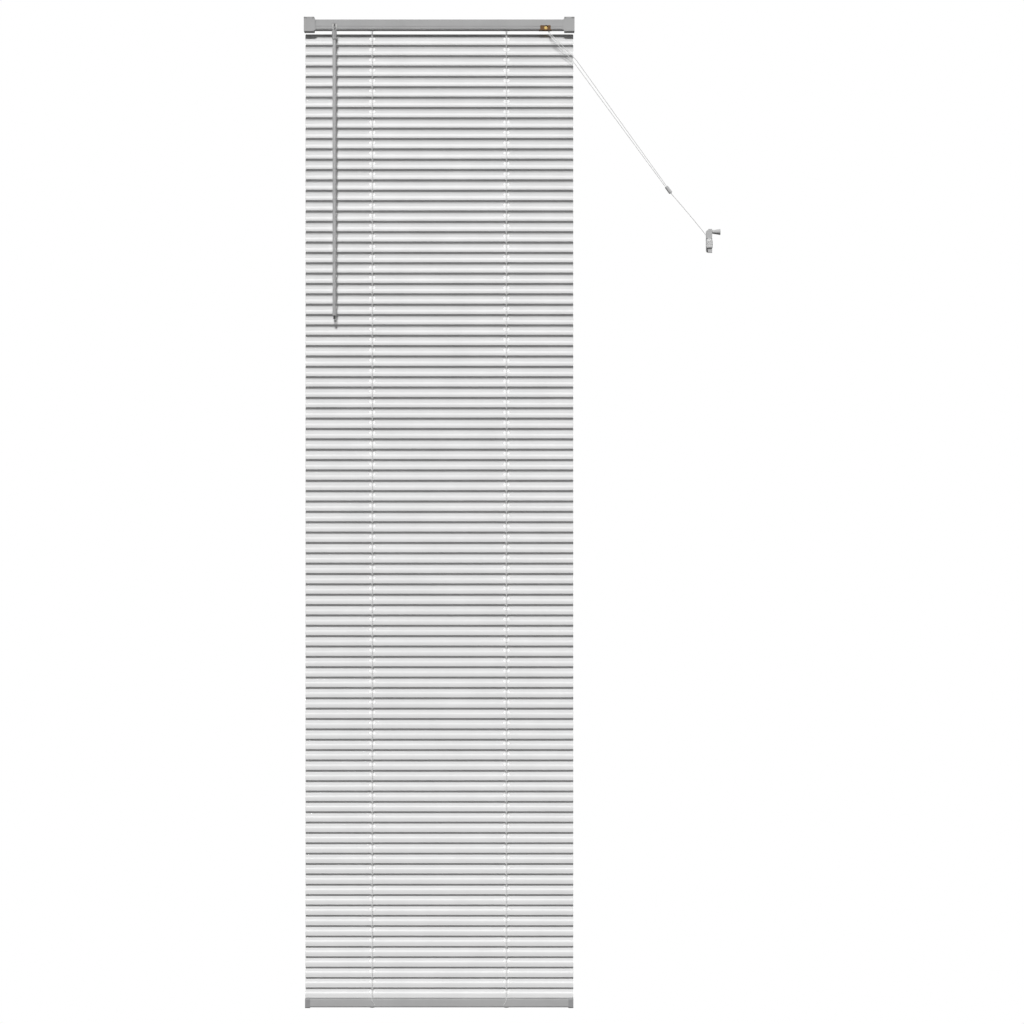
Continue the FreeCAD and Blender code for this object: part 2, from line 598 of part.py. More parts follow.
ENTRY = JOINER_TOP - JOINER_DIR * CORD_GAP
FRONT_CORD = [V(CORD_FALL_X, FRONT_LANE, LOCK_Z), V(CORD_FALL_X, FRONT_LANE, -31.0),
              V(252.5, -16.6, -45.0), V(301.0, -14.8, -92.5), ENTRY + JOINER_SIDE * 1.5]
BACK_CORD = [V(CORD_FALL_X, BACK_LANE, LOCK_Z), V(CORD_FALL_X, BACK_LANE, -30.6),
             V(246.5, -16.2, -45.0), V(296.0, -14.4, -98.0), ENTRY - JOINER_SIDE * 1.5]
TAIL_CORD = [JOINER_END + JOINER_DIR * CORD_GAP, V(591.6, 4.4, -478.4), V(594.6, 4.9, COIL_TOP + 0.3)]
TASSEL_LEAD = [V(605.4, 4.9, COIL_TOP + 0.15), V(605.4, 6.4, -483.9), V(600.9, 7.0, -479.7),
               V(601.1, 7.0, TASSEL_Z), V(606.5 - CORD_GAP, 7.0, TASSEL_Z)]


def cord_joiner():
    """Slotted bead that joins the two pull cords to the single tail."""
    body = rod(JOINER_R, JOINER_TOP, JOINER_END)
    return body.makeFillet(1.4, [e for e in body.Edges if e.Curve.TypeId == "Part::GeomCircle"])


def cleat_bar():
    """The bar in one piece: a wide horn at each end, and the narrower middle that the cord winds on."""
    wide, narrow = CLEAT_X + 6.0, CLEAT_X + BAR_HALF_WIDTH
    narrow_left = CLEAT_X - BAR_HALF_WIDTH
    outline = [V(597.4, BAR_FRONT, -469.4), V(wide, BAR_FRONT, -469.4), V(wide, BAR_FRONT, COIL_TOP + 1.6),
               V(narrow, BAR_FRONT, COIL_TOP + 0.3), V(narrow, BAR_FRONT, COIL_BOTTOM - 0.3),
               V(wide, BAR_FRONT, COIL_BOTTOM - 1.6), V(wide, BAR_FRONT, -522.4),
               V(597.0, BAR_FRONT, -522.4), V(595.8, BAR_FRONT, COIL_BOTTOM - 1.6),
               V(narrow_left, BAR_FRONT, COIL_BOTTOM - 0.3), V(narrow_left, BAR_FRONT, COIL_TOP + 0.3),
               V(593.2, BAR_FRONT, COIL_TOP + 2.0), V(593.2, BAR_FRONT, -478.4)]
    bar = prism(outline, V(0, BAR_BACK - BAR_FRONT, 0))
    return softened(bar, 0.6, lambda bounds: bounds.YMax < BAR_FRONT + 0.01)


def cord_cleat():
    """Wall cleat: a bar on two posts over a screwed base."""
    parts = [cleat_bar()]
    for z in CLEAT_POSTS:
        parts.append(rod(3.4, V(CLEAT_X, BAR_BACK - 0.5, z), V(CLEAT_X, 13.5, z)))
    parts.append(rounded_box(CLEAT_X - 7, CLEAT_X + 7, 13.0, WALL, CLEAT_Z - 25, CLEAT_Z + 25, 5.0, Y_AXIS))
    holes = [rod(1.9, V(CLEAT_X, 12, CLEAT_Z + dz), V(CLEAT_X, WALL + 1, CLEAT_Z + dz))
             for dz in (-CLEAT_SCREWS / 2, CLEAT_SCREWS / 2)]
    return fused(parts).cut(holes)


def cord_winding():
    """Outer shape of the cord's two layers of turns on the cleat's bar."""
    turns = rounded_box(CLEAT_X - BAR_HALF_WIDTH - COIL_DEPTH, CLEAT_X + BAR_HALF_WIDTH + COIL_DEPTH,
                        BAR_FRONT - COIL_DEPTH, BAR_BACK + COIL_DEPTH, COIL_BOTTOM, COIL_TOP, 3.2, Z_AXIS)
    gap = CORD_GAP
    return turns.cut(box(CLEAT_X - BAR_HALF_WIDTH - gap, CLEAT_X + BAR_HALF_WIDTH + gap,
                         BAR_FRONT - gap, BAR_BACK + gap, COIL_BOTTOM - 1, COIL_TOP + 1))


def cord_tassel():
    """Hollow cone: the cord enters at its narrow end and is knotted inside."""
    start = V(606.5, TASSEL_Y, TASSEL_Z)
    outer = Part.makeCone(4.2, 6.7, 18.0, start, X_AXIS)
    hollow = Part.makeCone(3.0, 5.5, 14.5, start + X_AXIS * 3.6, X_AXIS)
    return outer.cut(hollow)


# ---- bottom rail --------------------------------------------------------------------------------
def bottom_rail():
    d = BOTTOM_RAIL_HALF_DEPTH
    x1 = SLAT_HALF_LENGTH - 1.0
    outer = rounded_box(-x1, x1, -d, d, BOTTOM_RAIL_BOTTOM, BOTTOM_RAIL_TOP, 2.5, X_AXIS)
    inner = rounded_box(-x1 - 1, x1 + 1, -d + SHEET, d - SHEET, BOTTOM_RAIL_BOTTOM + SHEET,
                        BOTTOM_RAIL_TOP - SHEET, 1.9, X_AXIS)
    holes = [Part.makeCylinder(2.6, 3, V(x, 0, z - 1.5)) for x in (-LADDER_X, LADDER_X)
             for z in (BOTTOM_RAIL_TOP, BOTTOM_RAIL_BOTTOM)]
    return outer.cut([inner] + holes)


def bottom_rail_cap():
    """Right-hand cap, pushed over the rail's end."""
    d = BOTTOM_RAIL_HALF_DEPTH
    p = CAP_PROUD
    x1 = SLAT_HALF_LENGTH
    outer = rounded_box(x1 - CAP_LENGTH, x1, -d - p, d + p, BOTTOM_RAIL_BOTTOM - 2 * p,
                        BOTTOM_RAIL_TOP + 0.6, 3.0, X_AXIS)
    outer = softened(outer, 0.6, lambda bounds: bounds.XMin > x1 - 0.01)
    room = rounded_box(x1 - CAP_LENGTH - 1, x1 - 1, -d, d, BOTTOM_RAIL_BOTTOM, BOTTOM_RAIL_TOP, 2.5, X_AXIS)
    return outer.cut(room)


def cord_button(x):
    """Plug under the bottom rail that covers the lift cord's knot."""
    stem = Part.makeCylinder(2.55, 4.0, V(x, 0, BOTTOM_RAIL_BOTTOM))
    head = Part.makeCylinder(5.5, 1.4, V(x, 0, BOTTOM_RAIL_BOTTOM - 1.4))
    return fused([stem, head])


# ---- all nodes ----------------------------------------------------------------------------------
def nodes():
    one = slat_at_origin()
    made = {
        "headrail": headrail(),
        "end_cap_right": end_cap(),
        "end_cap_left": mirrored(end_cap()),
        "bracket_right": bracket(),
        "bracket_left": mirrored(bracket()),
        "gate_pins": Part.makeCompound([gate_pin(), mirrored(gate_pin())]),
        "gate_right": gate(),
        "gate_left": mirrored(gate()),
        "tilt_rod": tilt_rod(),
        "tilt_drum_left": tilt_drum(-LADDER_X),
        "tilt_drum_right": tilt_drum(LADDER_X),
        "drum_cradle_left": drum_cradle(-LADDER_X),
        "drum_cradle_right": drum_cradle(LADDER_X),
        "worm_wheel": worm_wheel(),
        "tilter_worm": tilter_worm(),
        "tilter_housing": tilter_housing(),
        "wand_hook": wand_hook(),
        "wand_sleeve": wand_sleeve(),
        "wand": wand(),
        "wand_tip": wand_tip(),
        "cord_lock_housing": cord_lock_housing(),
        "cord_lock_guide": cord_lock_guide(),
        "cord_lock_roller": cord_lock_roller(),
        "ladder_strings_left": ladder_strings(-LADDER_X),
        "ladder_strings_right": ladder_strings(LADDER_X),
        "lift_cord_drops": lift_cord_drops(),
        "lift_cord_runs": Part.makeCompound([lift_cord_run(-LADDER_X, FRONT_LANE),
                                             lift_cord_run(LADDER_X, BACK_LANE)]),
        "pull_cord_front": tube_along(FRONT_CORD, CORD_R),
        "pull_cord_back": tube_along(BACK_CORD, CORD_R),
        "cord_joiner": cord_joiner(),
        "tail_cord": tube_along(TAIL_CORD, CORD_R),
        "cord_winding": cord_winding(),
        "tassel_lead": tube_along(TASSEL_LEAD, CORD_R),
        "cord_tassel": cord_tassel(),
        "cord_cleat": cord_cleat(),
        "bottom_rail": bottom_rail(),
        "bottom_cap_right": bottom_rail_cap(),
        "bottom_cap_left": mirrored(bottom_rail_cap()),
        "cord_buttons": Part.makeCompound([cord_button(-LADDER_X), cord_button(LADDER_X)]),
    }
    for i in range(HINGED):
        made["slat_%02d" % (i + 1)] = slat(one, i)
    for first in range(HINGED, SLATS, GROUP):
        name = "slats_%d_to_%d" % (first + 1, first + GROUP)
        made[name] = Part.makeCompound([slat(one, i) for i in range(first, first + GROUP)])
    return made


os.makedirs("parts", exist_ok=True)
for node, shape in nodes().items():
    if not shape.isValid():
        print("NOT VALID", node)
    for solid in shape.Solids:
        if solid.Volume < 0:
            print("INSIDE OUT", node)
    print(node, "solids", len(shape.Solids), "volume", round(shape.Volume, 1))
    shape.exportStep("parts/%s.step" % node)
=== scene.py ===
"""Looks of an aluminium venetian blind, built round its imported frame. Lengths are in metres."""
import json
import math

import bpy
from mathutils import Matrix, Vector


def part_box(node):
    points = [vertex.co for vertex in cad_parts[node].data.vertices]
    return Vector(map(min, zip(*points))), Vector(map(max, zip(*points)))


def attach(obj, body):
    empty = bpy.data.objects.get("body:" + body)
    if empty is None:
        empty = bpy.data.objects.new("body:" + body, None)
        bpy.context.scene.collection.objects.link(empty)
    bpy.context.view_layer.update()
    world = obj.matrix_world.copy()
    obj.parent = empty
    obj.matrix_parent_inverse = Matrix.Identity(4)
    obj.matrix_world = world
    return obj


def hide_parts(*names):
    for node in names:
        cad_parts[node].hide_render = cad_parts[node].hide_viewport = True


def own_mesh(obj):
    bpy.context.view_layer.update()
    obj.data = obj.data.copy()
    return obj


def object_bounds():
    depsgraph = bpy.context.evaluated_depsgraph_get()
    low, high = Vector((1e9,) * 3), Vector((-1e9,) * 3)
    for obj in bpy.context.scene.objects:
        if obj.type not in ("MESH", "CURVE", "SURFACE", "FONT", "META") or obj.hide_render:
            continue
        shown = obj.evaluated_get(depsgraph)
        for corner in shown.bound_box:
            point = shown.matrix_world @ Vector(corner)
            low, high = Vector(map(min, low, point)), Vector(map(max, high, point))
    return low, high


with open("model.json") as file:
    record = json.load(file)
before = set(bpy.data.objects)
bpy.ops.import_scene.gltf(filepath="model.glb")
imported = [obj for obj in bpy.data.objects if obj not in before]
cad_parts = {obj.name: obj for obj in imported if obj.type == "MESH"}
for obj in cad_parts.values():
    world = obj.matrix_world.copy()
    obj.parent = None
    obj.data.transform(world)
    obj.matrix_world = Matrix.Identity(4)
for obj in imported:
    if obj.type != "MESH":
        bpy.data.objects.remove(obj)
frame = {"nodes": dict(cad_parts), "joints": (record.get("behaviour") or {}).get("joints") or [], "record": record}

CAD_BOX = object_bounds()
MM = 0.001

# ---- driving dimensions, as in the CAD source ---------------------------------------------------
HINGED = 18
SLATS = 93
GROUP = 25
PITCH = 23.0 * MM
SLAT_HALF_LENGTH = 297.5 * MM
SLAT_WIDTH = 25.0 * MM
SLAT_CROWN = 2.0 * MM
SLAT_THICK = 0.25 * MM
SLAT_CORNER_R = 2.0 * MM
SLOT_LENGTH = 14.0 * MM
SLOT_WIDTH = 7.0 * MM
CLOSED = math.radians(72.0)
LADDER_X = 149.0 * MM
FRONT_STRING_Y = -7.1 * MM
BACK_STRING_Y = 6.9 * MM
STRING_R = 0.45 * MM
RUNG_R = 0.32 * MM
CORD_R = 0.75 * MM
RUNG_SPREAD = 2.4 * MM        # each of a rung's two threads, aside of the string
FORK_SPREAD = 2.6 * MM        # each arm of the front string's V, aside of the string
FORK_RISE = 17.0 * MM
RAIL_EDGE_R = 2.5 * MM        # rounded upper edge of the bottom rail
WAND_EDGE_R = 0.9 * MM

CLEAT_X = 599.8 * MM
COIL_Y = 0.25 * MM            # middle of the cleat's bar, from front to back
COIL_TOP = -493.0 * MM
COIL_PITCH = 1.63 * MM
COIL_TURNS = 11
COIL_HALF_X = 5.4 * MM        # the inner layer's centreline, half its width and depth
COIL_HALF_Y = 3.45 * MM
LAYER = 1.56 * MM

nodes = frame["nodes"]
joint = {j["name"]: j for j in frame["joints"]}


# ---- camera -------------------------------------------------------------------------------------
def make_camera():
    """Level, square to the blind, at half its height and 6.8 m away."""
    data = bpy.data.cameras.new("camera")
    camera = bpy.data.objects.new("camera", data)
    bpy.context.scene.collection.objects.link(camera)
    data.sensor_width = 36.0
    data.lens = 107.65
    data.clip_end = 100.0
    camera.location = (0.1614, -6.8, -1.0980)
    camera.rotation_euler = (math.radians(90), 0, 0)
    bpy.context.scene.camera = camera


make_camera()


# ---- mesh helpers -------------------------------------------------------------------------------
def add_object(name, vertices, faces, sharp_deg=40.0):
    """A smooth-shaded mesh object whose edges over sharp_deg stay sharp."""
    mesh = bpy.data.meshes.new(name)
    mesh.from_pydata([tuple(v) for v in vertices], [], faces)
    mesh.validate()
    mesh.update()
    mesh.shade_smooth()
    mesh.set_sharp_from_angle(angle=math.radians(sharp_deg))
    piece = bpy.data.objects.new(name, mesh)
    bpy.context.scene.collection.objects.link(piece)
    return piece


class Soup:
    """Vertices and faces gathered from many small shapes into one mesh."""

    def __init__(self):
        self.vertices, self.faces = [], []

    def add(self, vertices, faces):
        start = len(self.vertices)
        self.vertices += vertices
        self.faces += [[start + i for i in face] for face in faces]


def tube(points, radius, sides=8):
    """Vertices and faces of a closed round tube along a polyline."""
    points = [Vector(p) for p in points]
    vertices, faces = [], []
    side = None
    for i, p in enumerate(points):
        ahead = (points[min(i + 1, len(points) - 1)] - points[max(i - 1, 0)]).normalized()
        start = side if side is not None else ahead.orthogonal()
        side = (start - ahead * start.dot(ahead)).normalized()
        other = ahead.cross(side)
        for k in range(sides):
            turn = 2 * math.pi * k / sides
            vertices.append(p + (side * math.cos(turn) + other * math.sin(turn)) * radius)
    for i in range(len(points) - 1):
        for k in range(sides):
            a, b = i * sides + k, i * sides + (k + 1) % sides
            faces.append([a, b, b + sides, a + sides])
    faces.append(list(range(sides))[::-1])
    last = (len(points) - 1) * sides
    faces.append([last + k for k in range(sides)])
    return vertices, faces


def lathe(profile, origin, axis, sides=48):
    """Revolves (distance along the axis, radius) points, closed from last to first, round an axis."""
    along = Vector(axis).normalized()
    side = along.orthogonal().normalized()
    other = along.cross(side)
    vertices, faces = [], []
    for distance, radius in profile:
        for k in range(sides):
            turn = 2 * math.pi * k / sides
            out = side * math.cos(turn) + other * math.sin(turn)
            vertices.append(Vector(origin) + along * distance + out * radius)
    rows = len(profile)
    for i in range(rows):
        for k in range(sides):
            a, b = i * sides, (i + 1) % rows * sides
            faces.append([a + k, a + (k + 1) % sides, b + (k + 1) % sides, b + k])
    return vertices, faces


# ---- cords --------------------------------------------------------------------------------------
def cord_curve(name, points, radius=CORD_R):
    """A smooth round cord with the points as its control points. Each point carries the cord's radius,
    because a curve's box grows by that much, and by a whole metre if it is left at 1."""
    data = bpy.data.curves.new(name, "CURVE")
    data.dimensions = "3D"
    data.bevel_depth = 1.0
    data.bevel_resolution = 3
    data.resolution_u = 8
    data.use_fill_caps = True
    spline = data.splines.new("NURBS")
    spline.points.add(len(points) - 1)
    for control, p in zip(spline.points, points):
        control.co = (*p, 1.0)
        control.radius = radius
    spline.order_u = 3
    spline.use_endpoint_u = True
    piece = bpy.data.objects.new(name, data)
    bpy.context.scene.collection.objects.link(piece)
    return piece


FRONT_ROUTE = [(0.2419, -0.0054, -0.0211), (0.2419, -0.0054, -0.0310), (0.2525, -0.0166, -0.0450),
               (0.3010, -0.0148, -0.0925), (0.30945, -0.0145, -0.1043), (0.5045, -0.0060, -0.3748)]
BACK_ROUTE = [(0.2419, -0.0024, -0.0211), (0.2419, -0.0024, -0.0306), (0.2465, -0.0162, -0.0450),
              (0.2960, -0.0144, -0.0980), (0.3045, -0.0141, -0.1095), (0.5020, -0.0060, -0.3766)]
TAIL_ROUTE = [(0.5139, -0.0056, -0.3905), (0.5916, 0.0044, -0.4784), (0.5946, 0.0049, -0.4916)]
LEAD_ROUTE = [(0.6054, 0.0049, -0.49175), (0.6054, 0.0064, -0.4839), (0.6009, 0.0070, -0.4797),
              (0.6011, 0.0070, -0.4755), (0.6065, 0.0070, -0.4755)]


def coil_points():
    """Two layers of turns on the cleat's bar: down the inner one, then back up over it."""
    steps = 14
    points = []
    down = COIL_TURNS * steps
    up = down + steps
    total = up + (COIL_TURNS - 1) * steps - 5
    for i in range(total + 1):
        turn = math.pi + 2 * math.pi * i / steps
        if i <= down:
            layer, z = 0.0, COIL_TOP - COIL_PITCH * i / steps
        elif i <= up:
            layer, z = (i - down) / steps, COIL_TOP - COIL_PITCH * COIL_TURNS
        else:
            layer, z = 1.0, COIL_TOP - COIL_PITCH * (COIL_TURNS - (i - up) / steps)
        half_x = COIL_HALF_X + LAYER * layer
        half_y = COIL_HALF_Y + LAYER * layer
        c, s = math.cos(turn), math.sin(turn)
        x = CLEAT_X + math.copysign(abs(c) ** 0.55, c) * half_x
        y = COIL_Y + math.copysign(abs(s) ** 0.55, s) * half_y
        points.append((x, y, z))
    return points


def make_cords():
    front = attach(cord_curve("pull_cord_front_line", FRONT_ROUTE), "headrail_set")
    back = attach(cord_curve("pull_cord_back_line", BACK_ROUTE), "headrail_set")
    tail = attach(cord_curve("tail_cord_line", TAIL_ROUTE + coil_points() + LEAD_ROUTE), "headrail_set")
    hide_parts("pull_cord_front")
    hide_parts("pull_cord_back")
    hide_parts("tail_cord", "cord_winding", "tassel_lead")
    tassel = make_tassel()
    return [front, back, tail]


def make_tassel():
    """Hollow moulded cone with a rounded lip, narrow end towards the cleat."""
    low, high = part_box("cord_tassel")
    length = high.x - low.x
    r0, r1 = 4.2 * MM, (high.z - low.z) / 2
    lip = 0.7 * MM
    profile = [(0.0, 1.1 * MM), (0.0, r0 - lip), (0.25 * MM, r0 - 0.25 * MM), (lip, r0)]
    for i in range(1, 9):
        share = i / 8
        profile.append((lip + (length - 2.2 * lip) * share, r0 + (r1 - r0) * share ** 1.25))
    profile += [(length - 0.6 * lip, r1 - 0.1 * MM), (length, r1 - lip),
                (length - 0.3 * MM, r1 - 1.3 * MM), (length - 4 * MM, r1 - 2.2 * MM), (3.4 * MM, 2.6 * MM), (3.2 * MM, 1.1 * MM)]
    middle = Vector((low.x, (low.y + high.y) / 2, (low.z + high.z) / 2))
    piece = add_object("cord_tassel_cone", *lathe(profile, middle, (1, 0, 0)))
    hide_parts("cord_tassel")
    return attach(piece, "headrail_set")


cords = make_cords()


# ---- slats --------------------------------------------------------------------------------------
def slat_rows():
    """Places across a slat, from its front edge to its back, close together at curves."""
    half = SLAT_WIDTH / 2
    corner = [half - SLAT_CORNER_R + SLAT_CORNER_R * math.sin(math.radians(a))
              for a in (0, 15, 32, 50, 68, 80, 90)]
    slot = [SLOT_WIDTH / 2 * math.sin(math.radians(a)) for a in (30, 60, 90)]
    right = slot + [(slot[-1] + corner[0]) / 2] + corner
    return [-s for s in reversed(right)] + [0.0] + right


def slat_columns(s):
    """Places along a slat at s: its two ends and the two sides of each cord slot."""
    over = abs(s) - (SLAT_WIDTH / 2 - SLAT_CORNER_R)
    end = SLAT_HALF_LENGTH
    if over > 0:
        end -= SLAT_CORNER_R - math.sqrt(max(SLAT_CORNER_R ** 2 - over ** 2, 0.0))
    r = SLOT_WIDTH / 2
    reach = SLOT_LENGTH / 2 - r + math.sqrt(max(r ** 2 - s ** 2, 0.0))
    return [-end, -LADDER_X - reach, -LADDER_X + reach, LADDER_X - reach, LADDER_X + reach, end]


def slat_shape(axis_z):
    """One crowned slat, closed with its front edge down, turning about its crown at axis_z."""
    radius = ((SLAT_WIDTH / 2) ** 2 + SLAT_CROWN ** 2) / (2 * SLAT_CROWN)
    reach = math.asin(SLAT_WIDTH / 2 / radius)
    rows = slat_rows()
    columns = len(slat_columns(0.0))
    hole_row = SLOT_WIDTH / 2 + 1e-7
    place = Matrix.Translation((0, 0, axis_z)) @ Matrix.Rotation(CLOSED, 4, "X")
    vertices, faces = [], []
    for side in (0.5, -0.5):
        for s in rows:
            angle = reach * s / (SLAT_WIDTH / 2)
            out = radius + side * SLAT_THICK
            y, z = out * math.sin(angle), out * math.cos(angle) - radius
            vertices += [place @ Vector((x, y, z)) for x in slat_columns(s)]
    under = len(rows) * columns
    rim = {}
    for i in range(len(rows) - 1):
        in_slot = max(abs(rows[i]), abs(rows[i + 1])) < hole_row
        for c in range(columns - 1):
            if in_slot and c in (1, 3):
                continue
            a = i * columns + c
            quad = [a, a + 1, a + 1 + columns, a + columns]
            faces.append(quad)
            faces.append([q + under for q in reversed(quad)])
            for p, q in zip(quad, quad[1:] + quad[:1]):
                if rim.pop((q, p), None) is None:
                    rim[(p, q)] = True
    for p, q in rim:
        faces.append([q, p, p + under, q + under])
    return vertices, faces


def rung_shape(axis_z, x):
    """Two threads from the front string, round under a slat, to the back string."""
    front_edge = Vector((0, -1.96, -12.9)) * MM
    back_edge = Vector((0, 6.05, 11.2)) * MM
    shapes = []
    for lean in (-1, 1):
        aside = RUNG_SPREAD * lean
        path = [Vector((x, FRONT_STRING_Y, axis_z - 14.6 * MM)),
                Vector((x + aside * 0.5, -4.4 * MM, axis_z - 14.0 * MM)),
                Vector((x + aside, 0, axis_z)) + front_edge + Vector((0, 0, -0.35 * MM)),
                Vector((x + aside, 0, axis_z)) + front_edge + Vector((0, 0.9 * MM, 0.3 * MM)),
                Vector((x + aside, 1.1 * MM, axis_z - 1.0 * MM)),
                Vector((x + aside, 0, axis_z)) + back_edge,
                Vector((x, BACK_STRING_Y, axis_z + 11.8 * MM))]
        shapes.append(tube(path, RUNG_R, 6))
    return shapes


def follow_lift(piece):
    """Gives the piece a mesh of its own."""
    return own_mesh(piece)


def make_curtain():
    """Every slat with its ladder rungs, in the same nodes and bodies as the frame."""
    first_z = joint["slat_01_tilt"]["pos_m"][2]
    sets = [("slat_%02d" % (i + 1), [i], "slat_%02d" % (i + 1)) for i in range(HINGED)]
    for first in range(HINGED, SLATS, GROUP):
        name = "slats_%d_to_%d" % (first + 1, first + GROUP)
        sets.append((name, range(first, first + GROUP), "headrail_set"))
    slats, rungs = [], []
    for node, numbers, body in sets:
        metal, threads = Soup(), Soup()
        for i in numbers:
            axis_z = first_z - PITCH * i
            metal.add(*slat_shape(axis_z))
            for x in (-LADDER_X, LADDER_X):
                for shape in rung_shape(axis_z, x):
                    threads.add(*shape)
        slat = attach(add_object(node + "_metal", metal.vertices, metal.faces, 60.0), body)
        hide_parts(node)
        slats.append(follow_lift(slat))
        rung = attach(add_object(node + "_rungs", threads.vertices, threads.faces, 60.0), body)
        rungs.append(follow_lift(rung))
    return slats, rungs


slats, rungs = make_curtain()


# ---- ladder strings and lift cords --------------------------------------------------------------
def make_strings():
    """Front and back strings of each ladder; the front one is split into a V above the first slat."""
    made = []
    split_z = joint["slat_01_tilt"]["pos_m"][2] - 1.0 * MM
    for side, x in (("left", -LADDER_X), ("right", LADDER_X)):
        node = "ladder_strings_" + side
        low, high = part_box(node)
        strings = Soup()
        strings.add(*tube([(x, BACK_STRING_Y, low.z), (x, BACK_STRING_Y, high.z)], STRING_R))
        strings.add(*tube([(x, FRONT_STRING_Y, low.z), (x, FRONT_STRING_Y, split_z)], STRING_R))
        for lean in (-1, 1):
            arm_x = x + lean * FORK_SPREAD
            strings.add(*tube([(x, FRONT_STRING_Y, split_z - 1.5 * MM),
                               (arm_x, FRONT_STRING_Y, split_z + FORK_RISE),
                               (arm_x, FRONT_STRING_Y + 0.3 * MM, high.z)], STRING_R * 0.8))
        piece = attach(add_object(node + "_lines", strings.vertices, strings.faces), "headrail_set")
        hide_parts(node)
        made.append(follow_lift(piece))
    low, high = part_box("lift_cord_drops")
    drops = Soup()
    y = (low.y + high.y) / 2
    for x in (-LADDER_X, LADDER_X):
        drops.add(*tube([(x, y, low.z), (x, y, high.z)], CORD_R, 12))
    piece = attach(add_object("lift_cord_drop_lines", drops.vertices, drops.faces), "headrail_set")
    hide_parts("lift_cord_drops")
    made.append(follow_lift(piece))
    return made


def make_string_ends():
    """The ladders' front strings end over the bottom rail's rounded edge, led inwards down its face."""
    low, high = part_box("bottom_rail")
    off = RAIL_EDGE_R + STRING_R
    ends = Soup()
    for side in (-1, 1):
        x = side * LADDER_X
        face = low.y - STRING_R
        path = [Vector((x, low.y + off + 2.0 * MM, high.z + STRING_R)),
                Vector((x, low.y + RAIL_EDGE_R, high.z + STRING_R))]
        for turn in (30, 60, 90):
            back, up = math.sin(math.radians(turn)) * off, math.cos(math.radians(turn)) * off
            path.append(Vector((x, low.y + RAIL_EDGE_R - back, high.z - RAIL_EDGE_R + up)))
        path += [Vector((x - side * 1.6 * MM, face, high.z - 6.0 * MM)),
                 Vector((x - side * 5.6 * MM, face, high.z - 12.5 * MM)),
                 Vector((x - side * 6.2 * MM, face, high.z - 14.0 * MM))]
        ends.add(*tube(path, STRING_R))
    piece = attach(add_object("rail_string_ends", ends.vertices, ends.faces), "bottom_rail")
    return piece


strings = make_strings() + [make_string_ends()]


# ---- wand ---------------------------------------------------------------------------------------
def make_wand():
    """Hexagonal clear rod with rounded corners and a chamfered foot."""
    low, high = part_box("wand")
    middle = (low + high) / 2
    r = (high.x - low.x) / 2
    outline = []
    for i in range(6):
        turn = math.radians(60 * i)
        centre = r - WAND_EDGE_R / math.cos(math.radians(30))
        for k in (-30, -10, 10, 30):
            out = turn + math.radians(k)
            outline.append((centre * math.cos(turn) + WAND_EDGE_R * math.cos(out),
                            centre * math.sin(turn) + WAND_EDGE_R * math.sin(out)))
    levels = [(low.z, 0.82), (low.z + 0.8 * MM, 1.0), (high.z - 1.0 * MM, 1.0), (high.z, 0.9)]
    vertices = [Vector((middle.x + px * share, middle.y + py * share, z))
                for z, share in levels for px, py in outline]
    n = len(outline)
    faces = [[i * n + k, i * n + (k + 1) % n, (i + 1) * n + (k + 1) % n, (i + 1) * n + k]
             for i in range(len(levels) - 1) for k in range(n)]
    faces.append([k for k in reversed(range(n))])
    faces.append([(len(levels) - 1) * n + k for k in range(n)])
    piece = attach(add_object("wand_rod", vertices, faces, 25.0), "wand")
    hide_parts("wand")
    return piece


wand = make_wand()


# ---- materials ----------------------------------------------------------------------------------
def start_material(name, base, roughness, metallic=0.0):
    """A Principled material; returns it with its tree, shader and object coordinates."""
    made = bpy.data.materials.new(name)
    made.use_nodes = True
    tree = made.node_tree
    shader = tree.nodes["Principled BSDF"]
    shader.inputs["Base Color"].default_value = (*base, 1.0)
    shader.inputs["Roughness"].default_value = roughness
    shader.inputs["Metallic"].default_value = metallic
    place = tree.nodes.new("ShaderNodeTexCoord").outputs["Object"]
    return made, tree, shader, place


def stretched(tree, place, scale):
    mapping = tree.nodes.new("ShaderNodeMapping")
    mapping.inputs["Scale"].default_value = scale
    tree.links.new(place, mapping.inputs["Vector"])
    return mapping.outputs["Vector"]


def noise(tree, place, scale, detail=3.0):
    node = tree.nodes.new("ShaderNodeTexNoise")
    node.inputs["Scale"].default_value = scale
    node.inputs["Detail"].default_value = detail
    tree.links.new(place, node.inputs["Vector"])
    return node.outputs["Fac"]


def ramp(tree, factor, low, high, start=0.3, end=0.7):
    """A colour that goes from low to high as the factor does."""
    node = tree.nodes.new("ShaderNodeValToRGB")
    node.color_ramp.elements[0].position = start
    node.color_ramp.elements[0].color = (*low, 1.0)
    node.color_ramp.elements[1].position = end
    node.color_ramp.elements[1].color = (*high, 1.0)
    tree.links.new(factor, node.inputs["Fac"])
    return node.outputs["Color"]


def spread(tree, factor, low, high):
    """A number that goes from low to high as the factor goes from 0 to 1."""
    node = tree.nodes.new("ShaderNodeMapRange")
    node.inputs["To Min"].default_value = low
    node.inputs["To Max"].default_value = high
    tree.links.new(factor, node.inputs["Value"])
    return node.outputs["Result"]


def bump(tree, shader, height, distance, strength=1.0):
    node = tree.nodes.new("ShaderNodeBump")
    node.inputs["Distance"].default_value = distance
    node.inputs["Strength"].default_value = strength
    tree.links.new(height, node.inputs["Height"])
    tree.links.new(node.outputs["Normal"], shader.inputs["Normal"])


def shade(base, share):
    return tuple(c * share for c in base)


